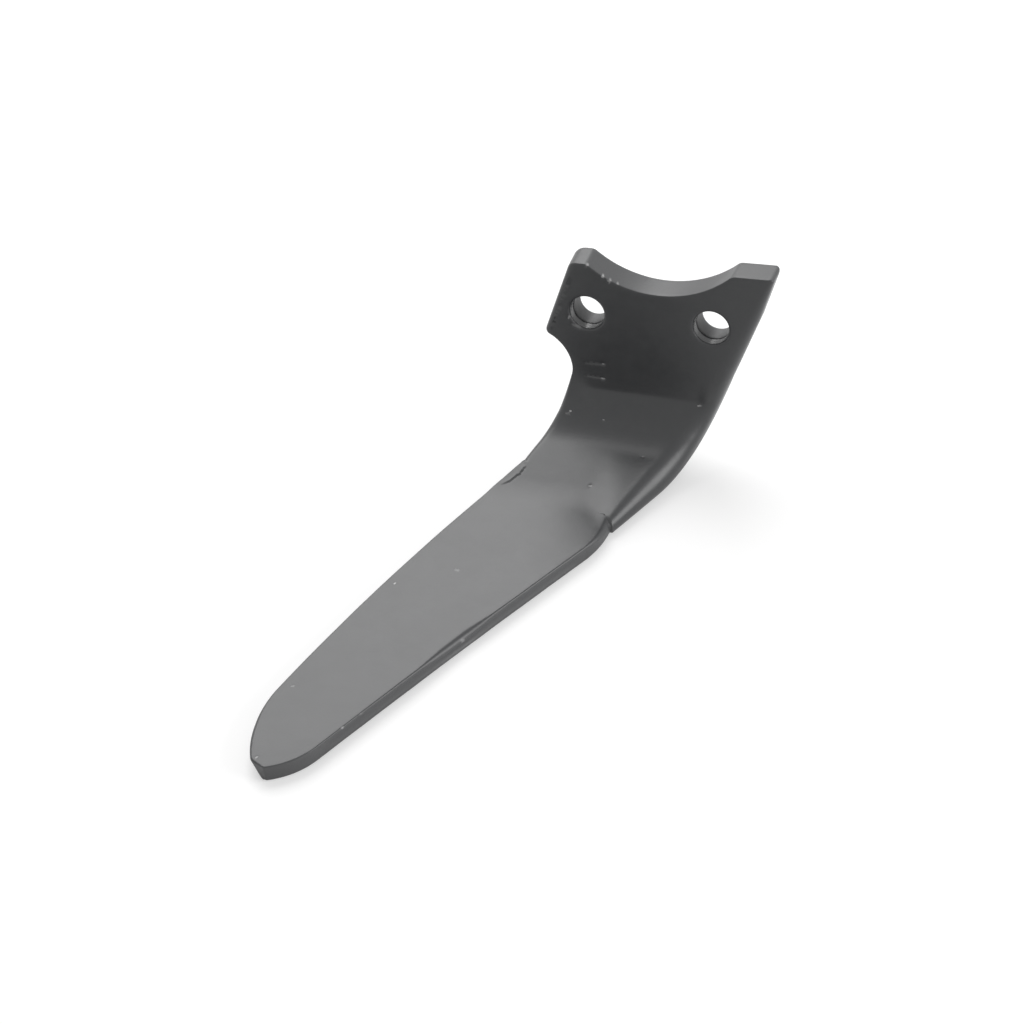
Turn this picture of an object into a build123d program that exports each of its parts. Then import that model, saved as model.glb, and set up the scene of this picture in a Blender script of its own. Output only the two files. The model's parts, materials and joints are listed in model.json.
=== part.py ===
"""Tine of a power harrow: one flat bar, bent, punched at one end and drawn to a point at the other.

The tine lies on the underside of its blade, as on a bench. X runs along the line of the two
bolt holes, Y away from the tip, Z up. The blade points to -Y and leans to -X, and the
mounting plate rises at the back. The origin is under the middle of the whole outline.
"""
import os
from math import cos, pi, radians, sin, tan

from build123d import *

# Flat bar
bar_width = 90.0
bar_thickness = 15.0
bar_edge_radius = 5.0
rake_angle = 21.8

# Bend between plate and blade
bend_angle = 85.0
bend_inner_radius = 33.0

# Mounting plate, measured from the line through the two bolt holes
hole_spacing = 60.0
hole_diameter = 17.0
hole_chamfer = 0.6
hole_line_to_bend = 28.5
holes_off_bar_middle = 0.6
hole_line_to_end = 26.6
end_tilt = 1.6
end_corner_radius = 3.0
hub_radius = 52.5
hub_centre_height = 66.2
hub_centre_offset = 4.4

# Throat under the left ear, and the neck below it
throat_radius = 20.0
throat_centre_drop = 31.0
neck_width = 74.5
neck_lean = 13.8

# Blade, measured from the end of the bend
blade_thickness = 8.0
blade_length = 217.3
tip_sideways = 91.5
underside_edge_radius = 1.4
left_shoulder_start = 1.0
left_shoulder_end = 20.0
left_shoulder_sideways = 62.5
left_edge_bulge = 2.4
right_shoulder_start = 34.0
right_shoulder_end = 53.0
right_shoulder_step = 1.3
right_shoulder_sideways = 6.4
right_edge_hollow = 1.0

# Point of the blade, measured back from the tip
left_nose_back = 44.2
left_nose_out = 14.5
nose_facet_back = 2.7
nose_facet_width = 7.1
nose_undercut_back = 20.0
nose_undercut_width = 5.8
right_nose_back = 17.3
right_nose_out = 16.4

# Drawn-down ramp from bar thickness to blade thickness
thinning_angle = 15.2
thinning_blend_radius = 60.0
thinning_skim = 0.05

# How far a cutting body reaches past the bar
clear = 30.0

# Worked out
rake = radians(rake_angle)
lean = radians(neck_lean)
bend = radians(bend_angle)
bend_outer_radius = bend_inner_radius + bar_thickness
bend_mid_radius = bend_inner_radius + bar_thickness / 2
bar_width_across = bar_width / cos(rake)
right_edge_at_hole_line = bar_width_across / 2 + holes_off_bar_middle
plate_up = Vector(0, cos(bend), sin(bend))
plate_front = Vector(0, -sin(bend), cos(bend))
bend_centre = Vector(0, 0, bend_outer_radius)
bend_top_front = bend_centre - plate_front * bend_inner_radius
hole_line_middle = bend_top_front + plate_up * hole_line_to_bend
plate_plane = Plane(origin=hole_line_middle, x_dir=(1, 0, 0), z_dir=plate_front)


def right_edge_on_plate(height):
    """Sideways place of the bar's right edge at a height above the hole line."""
    return right_edge_at_hole_line + height * tan(rake)


right_edge_at_bend_top = right_edge_on_plate(-hole_line_to_bend)
right_edge_at_bend_end = right_edge_at_bend_top - bend_mid_radius * bend * tan(rake)
bar_middle_at_bend_top = right_edge_at_bend_top - bar_width_across / 2
bar_middle_at_bend_end = right_edge_at_bend_end - bar_width_across / 2
neck_left_at_bend_top = right_edge_at_bend_top - neck_width
throat_tangent_drop = throat_centre_drop + throat_radius * sin(lean)
bend_end_drop = hole_line_to_bend + bend_mid_radius * bend


def neck_left_edge(drop):
    """Sideways place of the neck's left edge, at an unrolled distance below the hole line."""
    return neck_left_at_bend_top - (drop - hole_line_to_bend) * tan(lean)


neck_left_at_bend_end = neck_left_edge(bend_end_drop)


def turn_plane(x, angle):
    """Plane across the bar where the bend has `angle` radians left to run."""
    outward = Vector(0, sin(angle), -cos(angle))
    along = Vector(0, -cos(angle), -sin(angle))
    origin = bend_centre + outward * bend_mid_radius + Vector(x, 0, 0)
    return Plane(origin=origin, x_dir=(1, 0, 0), z_dir=along)


def helical_path(x, start_angle, sideways):
    """Path round the bend axis from start_angle down to the blade, drifting sideways."""
    outward = Vector(0, sin(start_angle), -cos(start_angle))
    pitch = sideways * 2 * pi / start_angle
    frame = Plane(origin=bend_centre + Vector(x, 0, 0), x_dir=outward, z_dir=(-1, 0, 0))
    return frame * Helix(pitch=pitch, height=sideways, radius=bend_mid_radius)


def bar_section():
    return RectangleRounded(bar_width_across, bar_thickness, bar_edge_radius)


def plate_outline():
    """Plate seen from the front: raked sides, tilted end with a rounded corner, hub notch."""
    bottom = -hole_line_to_bend
    right_slope = tan(rake)
    end_slope = tan(radians(end_tilt))
    left_edge_at_hole_line = right_edge_at_hole_line - bar_width_across
    right_top_height = (hole_line_to_end + end_slope * right_edge_at_hole_line) / (
        1 - end_slope * right_slope)
    left_top_height = (hole_line_to_end + end_slope * left_edge_at_hole_line) / (
        1 - end_slope * right_slope)
    blank = Polygon(
        (right_edge_on_plate(bottom), bottom),
        (right_edge_on_plate(right_top_height), right_top_height),
        (left_edge_at_hole_line + left_top_height * right_slope, left_top_height),
        (right_edge_on_plate(bottom) - bar_width_across, bottom),
        align=None,
    )
    top_corners = blank.vertices().sort_by(Axis.Y)[-2:]
    blank = fillet(top_corners.sort_by(Axis.X)[0], end_corner_radius)
    hub = Pos(hub_centre_offset, hub_centre_height) * Circle(hub_radius)
    return blank - hub


def plate_leg():
    """Straight bar above the bend, cut to the plate's outline."""
    reach = hole_line_to_bend + hole_line_to_end + clear
    direction = plate_up + Vector(tan(rake), 0, 0)
    section = turn_plane(bar_middle_at_bend_top, bend) * bar_section()
    bar = extrude(section, amount=reach / cos(rake), dir=direction)
    outline = plate_plane * plate_outline()
    return bar & extrude(outline, amount=bar_thickness + clear, both=True)


def bend_leg():
    """The bar bent about a line that crosses it at the rake angle."""
    drift = bend_mid_radius * bend * tan(rake)
    section = turn_plane(bar_middle_at_bend_top, bend) * bar_section()
    return sweep(section, path=helical_path(bar_middle_at_bend_top, bend, drift), is_frenet=True)


def blade_root():
    """Straight bar between the bend and the right shoulder, still with its rolled edge."""
    direction = Vector(-tan(rake), -1, 0)
    section = turn_plane(bar_middle_at_bend_end, 0) * bar_section()
    return extrude(section, amount=right_shoulder_start / cos(rake), dir=direction)


def throat_cut():
    """Round cut under the left ear, square to the plate."""
    x = neck_left_edge(throat_centre_drop) - throat_radius / cos(lean)
    circle = plate_plane * Pos(x, -throat_centre_drop) * Circle(throat_radius)
    return extrude(circle, amount=bar_thickness + clear / 2, both=True)


def neck_cut():
    """Waste to the left of the neck, round the bend and along the blade's root."""
    start_angle = bend - (throat_tangent_drop - hole_line_to_bend) / bend_mid_radius
    start_x = neck_left_edge(throat_tangent_drop)
    drift = start_x - neck_left_at_bend_end
    waste = Pos(-bar_width / 2, 0) * Rectangle(bar_width, bar_thickness + clear / 2)
    section = turn_plane(start_x, start_angle) * waste
    bend_waste = sweep(section, path=helical_path(start_x, start_angle, drift), is_frenet=True)
    direction = Vector(-tan(lean), -1, 0)
    root_section = turn_plane(neck_left_at_bend_end, 0) * waste
    root_waste = extrude(root_section, amount=right_shoulder_start + clear, dir=direction)
    return bend_waste + root_waste


def blade_outline():
    """Blade seen from above: raked, slightly bellied, and curved in to an off-centre tip."""
    tip = Vector(-tip_sideways, -blade_length)
    left_root = Vector(neck_left_at_bend_end - left_shoulder_start * tan(lean),
                       -left_shoulder_start)
    left_shoulder = Vector(-left_shoulder_sideways, -left_shoulder_end)
    left_nose = tip + Vector(-left_nose_out, left_nose_back)
    facet_end = tip + Vector(-nose_facet_width, nose_facet_back)
    right_nose = tip + Vector(right_nose_out, right_nose_back)
    right_shoulder = Vector(-right_shoulder_sideways, -right_shoulder_end)
    bar_edge = right_edge_at_bend_end - right_shoulder_start * tan(rake)
    right_root = Vector(bar_edge - right_shoulder_step, -right_shoulder_start)
    inner_corner = Vector(bar_edge - bar_edge_radius, -right_shoulder_start)
    top_of_root = Vector(inner_corner.X, -left_shoulder_start)

    left_edge = SagittaArc(left_shoulder, left_nose, -left_edge_bulge)
    left_point = TangentArc(left_nose, facet_end, tangent=left_edge % 1)
    right_edge = SagittaArc(right_shoulder, right_nose, -right_edge_hollow)
    right_point = TangentArc(right_nose, tip, tangent=right_edge % 1)
    shoulder_curve = TangentArc(right_shoulder, right_root, tangent=(right_edge % 0) * -1)
    edges = [
        Line(left_root, left_shoulder),
        left_edge,
        left_point,
        Line(facet_end, tip),
        right_point,
        right_edge,
        shoulder_curve,
        Line(right_root, inner_corner),
        Line(inner_corner, top_of_root),
        Line(top_of_root, left_root),
    ]
    return make_face(Wire(edges))


def nose_undercut_plane():
    """Slanted plane that draws the left side in under the nose, down to the tip."""
    lower_start = Vector(-tip_sideways - left_nose_out, -blade_length + nose_undercut_back, 0)
    lower_tip = Vector(-tip_sideways - nose_facet_width + nose_undercut_width, -blade_length, 0)
    upper_corner = Vector(-tip_sideways - nose_facet_width, -blade_length + nose_facet_back,
                          blade_thickness)
    along = lower_tip - lower_start
    return Plane(origin=lower_tip, x_dir=along, z_dir=along.cross(upper_corner - lower_tip))


def blade():
    """Blade blank at full bar thickness, with its lower edges rounded and its nose undercut."""
    blank = extrude(blade_outline(), amount=bar_thickness, dir=(0, 0, 1))
    lower_edges = blank.edges().group_by(Axis.Z)[0]
    trimmed = lower_edges.filter_by(lambda e: (e @ 0.5).X < right_edge_at_bend_end - bar_width_across
                                    or (e @ 0.5).Y < -right_shoulder_start)
    blank = fillet(trimmed, underside_edge_radius)
    return split(blank, bisect_by=nose_undercut_plane(), keep=Keep.BOTTOM)


def thinning_cut():
    """Waste above the blade: a ramp that leaves the bend's inner face, then the blade's top."""
    angle = radians(thinning_angle)
    slope = tan(angle)
    foot_radius = bend_inner_radius - thinning_skim
    foot = (foot_radius * sin(angle), bend_outer_radius - foot_radius * cos(angle))
    end = (foot[0] - (foot[1] - blade_thickness) / slope, blade_thickness)
    far = -blade_length - clear
    profile = Polygon((far, blade_thickness), end, foot, (0, bend_outer_radius),
                      (far, bend_outer_radius), align=None)
    corner = profile.vertices().sort_by_distance(Vector(*end))[0]
    waste = Plane.YZ * fillet(corner, thinning_blend_radius)
    return extrude(waste, amount=tip_sideways + bar_width + clear, both=True)


def bolt_holes():
    """Two through holes, each chamfered in the front face where the punch went in."""
    waste = []
    for side in (-1, 1):
        centre = plate_plane * Pos(side * hole_spacing / 2, 0)
        waste.append(extrude(centre * Circle(hole_diameter / 2), amount=bar_thickness + clear,
                             both=True))
        mouth = centre * Circle(hole_diameter / 2 + hole_chamfer)
        waste.append(extrude(mouth, amount=-hole_chamfer, taper=45))
    return waste


def harrow_tine():
    bar = plate_leg() + bend_leg() + blade_root()
    bar = bar - throat_cut() - neck_cut()
    tine = bar + blade()
    tine = tine - thinning_cut()
    for waste in bolt_holes():
        tine = tine - waste
    return tine


tine = harrow_tine()
box = tine.bounding_box()
tine = Pos(-box.center().X, -box.center().Y, -box.min.Z) * tine
tine.label = "harrow_tine"

os.makedirs("parts", exist_ok=True)
export_step(tine, "parts/harrow_tine.step")
print("size", box.size, "volume", tine.volume, "solids", len(tine.solids()), "valid", tine.is_valid)
print("origin shift", box.center().X, box.center().Y, box.min.Z)
print("centre of mass", tine.center(CenterOf.MASS))
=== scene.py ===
"""Visual model of a power harrow tine: a forged flat bar in satin black paint on a pale floor.

The tine is worked as a smith works it. A flat blank is trimmed to its outline, its edges are
rounded, its blade is drawn down thin, and a bend then turns the plate up. Blank coordinates run
X across the bar, Y along it from the end of the bend (plate up, blade down) and Z through it.
"""
import json
from math import atan2, cos, hypot, pi, radians, sin, tan

import bpy
import numpy as np
from bpy.props import FloatProperty, FloatVectorProperty, PointerProperty
from mathutils import Matrix, Vector
from mathutils.geometry import delaunay_2d_cdt


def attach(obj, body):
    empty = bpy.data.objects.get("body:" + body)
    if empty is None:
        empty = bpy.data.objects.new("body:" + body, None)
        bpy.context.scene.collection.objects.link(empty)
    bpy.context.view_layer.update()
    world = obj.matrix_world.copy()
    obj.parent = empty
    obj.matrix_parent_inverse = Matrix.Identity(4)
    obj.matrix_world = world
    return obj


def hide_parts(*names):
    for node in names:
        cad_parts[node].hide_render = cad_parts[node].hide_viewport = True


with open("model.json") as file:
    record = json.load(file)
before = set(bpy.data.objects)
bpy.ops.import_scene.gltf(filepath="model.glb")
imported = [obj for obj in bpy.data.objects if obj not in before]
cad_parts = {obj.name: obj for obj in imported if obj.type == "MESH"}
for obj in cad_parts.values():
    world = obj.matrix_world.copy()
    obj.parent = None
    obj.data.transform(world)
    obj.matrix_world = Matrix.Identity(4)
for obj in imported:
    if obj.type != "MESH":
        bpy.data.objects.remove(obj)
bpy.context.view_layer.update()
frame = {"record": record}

bl_info = {
    "name": "Harrow Tine",
    "version": (1, 0, 0),
    "blender": (4, 5, 0),
    "location": "3D View > Sidebar > Tine",
    "description": "Makes a forged and painted harrow tine and its studio",
    "category": "Object",
}

MM = 0.001
NODE = "harrow_tine"
BODY = "root"


def mount(name):
    """One of the record's mounts, by name."""
    return next(m for m in frame["record"]["mounts"] if m["name"] == name)


# What the CAD part says about the plate
plate_face = mount("plate_front_face")
plate_normal = Vector(plate_face["axis"])
hole_line = Vector(plate_face["pos_m"])
hole_places = [Vector(mount(name)["pos_m"]) for name in ("left_bolt_hole", "right_bolt_hole")]
hole_radius = mount("left_bolt_hole")["dims"]["r_mm"] * MM
hole_spacing = (hole_places[1] - hole_places[0]).length
bar_thickness = (Vector(mount("plate_back_face")["pos_m"]) - hole_line).length
bend_angle = atan2(-plate_normal.y, plate_normal.z)


def length(name, description, millimetres):
    """A length property, given in millimetres."""
    return FloatProperty(name=name, description=description, default=millimetres * MM,
                         unit="LENGTH", precision=5)


def angle(name, description, degrees):
    """An angle property, given in degrees."""
    return FloatProperty(name=name, description=description, default=radians(degrees),
                         unit="ROTATION")


def share(name, description, value):
    """A plain number between 0 and 1."""
    return FloatProperty(name=name, description=description, default=value, min=0.0, max=1.0,
                         subtype="FACTOR")


def colour(name, description, value):
    """A linear colour."""
    return FloatVectorProperty(name=name, description=description, default=value, size=3,
                               subtype="COLOR", min=0.0, max=1.0)


class TineBar(bpy.types.PropertyGroup):
    """The flat bar and its bend."""
    width: length("Bar width", "Width of the flat bar, square to its sides", 90.0)
    rake: angle("Rake", "Angle between the bar and a line square to the hole line", 21.8)
    inner_radius: length("Bend radius", "Radius inside the bend", 33.0)
    hole_line_to_bend: length("Hole line to bend", "From the hole line down to the bend", 28.5)
    side_radius: length("Side rounding", "Rounding of the rolled sides of the bar", 5.0)
    worked_radius: length("Worked rounding", "Rounding of the right side round the bend", 7.0)
    root_radius: length("Root rounding", "Rounding of the right side next to the blade", 8.5)
    die_depth: length("Die mark", "Depth of the mark across the inside of the bend", 1.7)
    die_high: length("Die mark top", "Where the die mark's upper crease lies", 45.5)
    die_low: length("Die mark foot", "Where the die mark's lower crease lies", 26.0)
    waviness: length("Waviness", "Unevenness that the hammer leaves", 0.22)
    wave_size: length("Wave size", "Distance from one hammer mark to the next", 24.0)


class TinePlate(bpy.types.PropertyGroup):
    """The mounting plate, measured from the hole line."""
    holes_off_middle: length("Holes off middle", "From the holes' middle to the bar's middle", 0.6)
    end_height: length("End height", "From the hole line up to the end of the plate", 26.7)
    end_tilt: angle("End tilt", "Slope of the cut end", 1.6)
    hub_radius: length("Hub radius", "Radius of the notch for the hub", 52.5)
    hub_height: length("Hub height", "From the hole line up to the notch's centre", 66.35)
    hub_offset: length("Hub offset", "Notch's centre to the right of the holes' middle", 4.4)
    corner_radius: length("Left corner", "Rounding of the top left corner, seen flat", 4.0)
    cut_radius: length("Cut edges", "Rounding that the paint gives to cut edges", 0.5)
    punch_radius: length("Punched edges", "Rolled edge where the punch went in", 1.1)
    burnished_depth: length("Burnished band", "Depth to which the punch burnished the holes", 5.2)
    torn_step: length("Torn step", "Step where the burnished band ends", 0.25)
    right_lean: length("Right lean", "How far the end's right corner leans to the left", 0.7)
    throat_radius: length("Throat radius", "Radius of the cut under the left ear", 20.0)
    throat_shift: length("Throat shift", "How far the throat lies left of and below its rule", 0.5)
    ear_set_in: length("Ear set-in", "How far the left side leans in, down at the ear", 1.6)
    swell: length("Swell", "How far the bend pushed the right side out", 0.9)
    throat_drop: length("Throat drop", "From the hole line down to the throat's centre", 31.0)
    neck_width: length("Neck width", "Width of the neck at the top of the bend", 74.5)
    neck_lean: angle("Neck lean", "Slope of the neck's left side", 13.8)
    neck_radius: length("Neck rounding", "Rounding of the neck's left side, inside the bend", 4.6)


class TineBlade(bpy.types.PropertyGroup):
    """The blade, measured from the end of the bend."""
    thickness: length("Thickness", "Thickness of the drawn-down blade", 8.0)
    reach: length("Reach", "From the end of the bend to the tip", 217.3)
    tip_offset: length("Tip offset", "Tip to the left of the holes' middle", 91.5)
    ramp_angle: angle("Ramp", "Slope of the drawn-down ramp", 15.2)
    ramp_blend: length("Ramp blend", "Length over which the ramp runs into the blade", 8.0)
    right_ramp_angle: angle("Right ramp", "Slope of the ramp at the right side", 10.4)
    ramp_ease_start: length("Ease start", "Where the ramp begins to ease, left of the middle", 18.0)
    ramp_ease_width: length("Ease width", "Width over which the ramp's slope eases", 19.0)
    trimmed_radius: length("Trimmed edges", "Rounding of the blade's upper edges", 1.0)
    under_radius: length("Lower edges", "Rounding of the blade's lower edges", 1.4)
    step: length("Right step", "Step where the trimmed right side begins", 1.3)
    hollow: length("Hollow side", "How far the sheared right side is hollowed", 0.7)
    nose_bevel: length("Nose bevel", "Width of the rounding on the left of the nose", 1.9)
    undercut: length("Nose undercut", "How far the nose is drawn in underneath", 4.6)


class TinePaint(bpy.types.PropertyGroup):
    """Satin black paint over forged steel."""
    paint: colour("Paint", "Colour of the paint", (0.034, 0.035, 0.037))
    faded: colour("Thin paint", "Colour where the paint is thin", (0.052, 0.053, 0.054))
    # Lighter colour of the torn sides: partly thin dry paint, partly painted light standing in for
    # the light that the sides catch.
    torn: colour("Torn sides", "Colour of the thin dry paint on sheared sides", (0.082, 0.083, 0.085))
    steel: colour("Bare steel", "Colour in a chip or a scratch", (0.42, 0.42, 0.42))
    roughness: share("Roughness", "Roughness of the satin paint", 0.34)
    cut_roughness: share("Cut roughness", "Roughness of the paint on torn sides", 0.48)


class TineStudio(bpy.types.PropertyGroup):
    """Camera, lights and floor."""
    place: FloatVectorProperty(name="Camera", description="Place of the camera",
                               default=(0.29082, -0.65553, 0.62840), subtype="TRANSLATION",
                               unit="LENGTH")
    azimuth: angle("Azimuth", "Which way the camera looks, from +Y towards -X", 24.19)
    elevation: angle("Elevation", "How far down the camera looks", 38.92)
    roll: angle("Roll", "Turn of the camera about its own axis", -6.83)
    lens: FloatProperty(name="Lens", description="Focal length on a 36 mm sensor",
                        default=74.75, unit="CAMERA")
    top_light: FloatProperty(name="Top light", description="Power of the overhead panel",
                             default=17.0, min=0.0, unit="POWER")
    back_light: FloatProperty(name="Back light", description="Power of the panel behind",
                              default=12.0, min=0.0, unit="POWER")
    room: FloatProperty(name="Room", description="Brightness of the room", default=0.5, min=0.0)
    floor: colour("Floor", "Colour of the floor", (0.62, 0.62, 0.62))
    floor_glow: share("Floor glow", "Light that lifts the seen floor to white", 0.42)


# Node trees


def add_node(tree, kind, settings=None, inputs=None):
    """Adds a node, sets it up, then fills its sockets with values or links."""
    node = tree.nodes.new(kind)
    for name, value in (settings or {}).items():
        if name == "stops":
            set_ramp(node.color_ramp, value)
        else:
            setattr(node, name, value)
    for key, value in (inputs or {}).items():
        if isinstance(value, Value):
            tree.links.new(value.socket, node.inputs[key])
        else:
            node.inputs[key].default_value = value
    return node


def set_ramp(ramp, stops):
    """Gives a colour ramp its stops: (place, grey level) pairs."""
    while len(ramp.elements) > 1:
        ramp.elements.remove(ramp.elements[-1])
    for number, (place, level) in enumerate(stops):
        element = ramp.elements[0] if number == 0 else ramp.elements.new(place)
        element.position = place
        element.color = (level, level, level, 1.0)


class Value:
    """One output of a node. Arithmetic on it adds Math nodes to its tree."""

    def __init__(self, tree, socket):
        self.tree = tree
        self.socket = socket

    def math(self, operation, first, second=0.0):
        node = add_node(self.tree, "ShaderNodeMath", {"operation": operation},
                        {0: first, 1: second})
        return Value(self.tree, node.outputs[0])

    def __add__(self, other):
        return self.math("ADD", self, other)

    def __radd__(self, other):
        return self.math("ADD", other, self)

    def __sub__(self, other):
        return self.math("SUBTRACT", self, other)

    def __rsub__(self, other):
        return self.math("SUBTRACT", other, self)

    def __mul__(self, other):
        return self.math("MULTIPLY", self, other)

    def __rmul__(self, other):
        return self.math("MULTIPLY", other, self)

    def __truediv__(self, other):
        return self.math("DIVIDE", self, other)

    def __rtruediv__(self, other):
        return self.math("DIVIDE", other, self)

    def at_least(self, other):
        return self.math("MAXIMUM", self, other)

    def at_most(self, other):
        return self.math("MINIMUM", self, other)

    def sine(self):
        return self.math("SINE", self)

    def cosine(self):
        return self.math("COSINE", self)


def output(tree, kind, name, settings=None, inputs=None):
    """Adds a node and gives one of its outputs as a value."""
    return Value(tree, add_node(tree, kind, settings, inputs).outputs[name])


def noise(tree, coordinates, size, detail=2.0, roughness=0.5):
    """A noise from 0 to 1 with bumps of about `size` metres."""
    return output(tree, "ShaderNodeTexNoise", "Fac", None,
                  {"Vector": coordinates, "Scale": 1.0 / size, "Detail": detail,
                   "Roughness": roughness})


def ramp(tree, value, low, high):
    """Runs from 0 to 1 as the value runs from low to high."""
    return output(tree, "ShaderNodeValToRGB", "Color",
                  {"stops": ((low, 0.0), (high, 1.0))}, {"Fac": value})


def mix_colour(tree, factor, first, second):
    """Mixes two colours."""
    node = add_node(tree, "ShaderNodeMix", {"data_type": "RGBA"}, {"Factor": factor})
    for key, value in (("A", first), ("B", second)):
        socket = [s for s in node.inputs if s.name == key and s.type == "RGBA"][0]
        if isinstance(value, Value):
            tree.links.new(value.socket, socket)
        else:
            socket.default_value = (*value, 1.0)
    result = [s for s in node.outputs if s.type == "RGBA"][0]
    return Value(tree, result)


# Outlines on the flat blank


SPACING = 0.95 * MM


def steps(distance):
    """How many steps of the usual spacing a distance takes."""
    return max(3, int(round(distance / SPACING)))


def straight(start, end):
    """Points along a straight side."""
    start, end = np.array(start), np.array(end)
    t = np.linspace(0.0, 1.0, steps(np.linalg.norm(end - start)) + 1)[:, None]
    return start + (end - start) * t


def round_about(centre, radius, first, last):
    """Points along an arc about a centre, from one angle to another."""
    turn = np.linspace(first, last, steps(radius * abs(last - first)) + 1)
    return np.stack([centre[0] + radius * np.cos(turn), centre[1] + radius * np.sin(turn)], 1)


def bowed(start, end, bow):
    """Points along an arc that stands `bow` to the right of its chord, or to the left below 0."""
    start, end = np.array(start), np.array(end)
    chord = np.linalg.norm(end - start)
    along = (end - start) / chord
    right = np.array([along[1], -along[0]])
    radius = (chord ** 2 / 4 + bow ** 2) / (2 * bow)
    half = atan2(chord / 2, radius - bow)
    if bow < 0:
        half = -atan2(chord / 2, bow - radius)
    turn = np.linspace(-half, half, steps(2 * radius * half) + 1)[:, None]
    middle = (start + end) / 2 - right * (radius - bow)
    return middle + along * radius * np.sin(turn) + right * radius * np.cos(turn)


def leaving(start, end, direction):
    """Points along an arc from start to end that leaves start along a direction."""
    start, end = np.array(start), np.array(end)
    chord = end - start
    offset = atan2(direction[0] * chord[1] - direction[1] * chord[0],
                   direction[0] * chord[0] + direction[1] * chord[1])
    return bowed(start, end, np.linalg.norm(chord) / 2 * tan(offset / 2))


class Side:
    """One side of the blank, travelled with the metal on the left.

    top and under are the roundings of its two edges, at even stations from its start to its end,
    corner is how much of the sides a rounded corner at its end takes, torn says how rough it is,
    hollow how far it is hollowed, and foot how far its lower edge is moved at start and end.
    """

    def __init__(self, points, top, under, corner=0.0, torn=0.0, hollow=0.0,
                 foot=((0.0, 0.0), (0.0, 0.0))):
        self.points = points
        self.top = top
        self.under = under
        self.corner = corner
        self.torn = torn
        self.hollow = hollow
        self.foot = np.array(foot)


def distances(points):
    """Distance along a run of points, from its start."""
    return np.concatenate([[0.0], np.cumsum(np.linalg.norm(np.diff(points, axis=0), axis=1))])


def cut_ends(points, from_start, from_end):
    """A run of points without a stretch at each end."""
    along = distances(points)
    total = along[-1]
    low, high = from_start, total - from_end
    inner = (along > low + SPACING / 4) & (along < high - SPACING / 4)
    wanted = np.concatenate([[low], along[inner], [high]])
    run = np.stack([np.interp(wanted, along, points[:, k]) for k in (0, 1)], 1)
    return run, wanted / total


CORNER_POINTS = 6
HOLLOW_RUN_OUT = 8 * MM


def side_normals(points):
    """Directions into the metal along one side."""
    way = np.gradient(points, axis=0)
    way /= np.linalg.norm(way, axis=1)[:, None]
    return np.stack([-way[:, 1], way[:, 0]], 1)


def corner_shift(first, second, first_radius, second_radius):
    """How far a corner moves in when the sides that meet there move in by two radii."""
    if abs(first[0] * second[1] - first[1] * second[0]) < 0.1:
        middle = first + second
        return middle / (middle @ middle) * (first_radius + second_radius)
    return np.linalg.solve(np.array([first, second]), (first_radius, second_radius))


def shifts_along(along, normals, radii, corners):
    """Shift into the metal along a side. Near a corner it turns into the corner's own shift."""
    shifts = normals * radii[:, None]
    for place, normal, radius, corner in corners:
        slide = corner - normal * radius
        reach = max(2 * hypot(*slide), SPACING)
        shifts += slide * np.clip(1 - np.abs(along - place) / reach, 0.0, 1.0)[:, None]
    return shifts


def join(sides):
    """Joins sides into one closed outline with rounded corners, as one row for each point."""
    rows = []
    count = len(sides)
    normals = [side_normals(side.points) for side in sides]

    def shift_at(number, edge):
        first, second = sides[number], sides[(number + 1) % count]
        return corner_shift(normals[number][-1], normals[(number + 1) % count][0],
                            getattr(first, edge)[-1], getattr(second, edge)[0])

    for number, side in enumerate(sides):
        before = sides[number - 1].corner
        after = sides[(number + 1) % count]
        total = distances(side.points)[-1]
        run, t = cut_ends(side.points, before, side.corner)
        whole = distances(side.points) / total
        inward = np.stack([np.interp(t, whole, normals[number][:, k]) for k in (0, 1)], 1)
        along = t * total
        t = (t - t[0]) / (t[-1] - t[0])
        shifts = []
        for edge in ("top", "under"):
            radii = blend(getattr(side, edge), t)
            corners = []
            if before > 0:
                corners.append((before, inward[0], radii[0], shift_at(number - 1, edge)))
            if side.corner > 0:
                corners.append((total - side.corner, inward[-1], radii[-1],
                                shift_at(number, edge)))
            shifts.append(shifts_along(along, inward, radii, corners))
        hollows = side.hollow * np.clip(np.minimum(along, total - along) / HOLLOW_RUN_OUT, 0, 1)
        feet = side.foot[0] + (side.foot[1] - side.foot[0]) * t[:, None]
        edges = np.column_stack([run, blend(side.top, t), blend(side.under, t),
                                 np.full(len(t), side.torn), inward * hollows[:, None], feet,
                                 *shifts])
        rows.append(edges if side.corner > 0 else edges[:-1])
        if side.corner > 0:
            t = np.arange(1, CORNER_POINTS)[:, None] / CORNER_POINTS
            next_run, _ = cut_ends(after.points, side.corner, after.corner)
            curve = (run[-1] * (1 - t) ** 2 + side.points[-1] * 2 * t * (1 - t)
                     + next_run[0] * t ** 2)
            still = np.zeros((len(t), 2))
            rows.append(np.column_stack([
                curve, blend((side.top[-1], after.top[0]), t),
                blend((side.under[-1], after.under[0]), t), blend((side.torn, after.torn), t),
                still, side.foot[1] + (after.foot[0] - side.foot[1]) * t,
                still + shift_at(number, "top"), still + shift_at(number, "under")]))
    return np.concatenate(rows)


def blend(values, t):
    """Value at a share of the way along a few even stations."""
    return np.interp(t, np.linspace(0.0, 1.0, len(values)), values)


def crossing(point, direction, centre, radius, far):
    """Where a line meets a circle: the far or the near meeting."""
    offset = np.array(point) - np.array(centre)
    direction = np.array(direction) / np.linalg.norm(direction)
    along = offset @ direction
    reach = (radius ** 2 - (offset @ offset - along ** 2)) ** 0.5
    return np.array(point) + direction * (-along + (reach if far else -reach))


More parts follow.
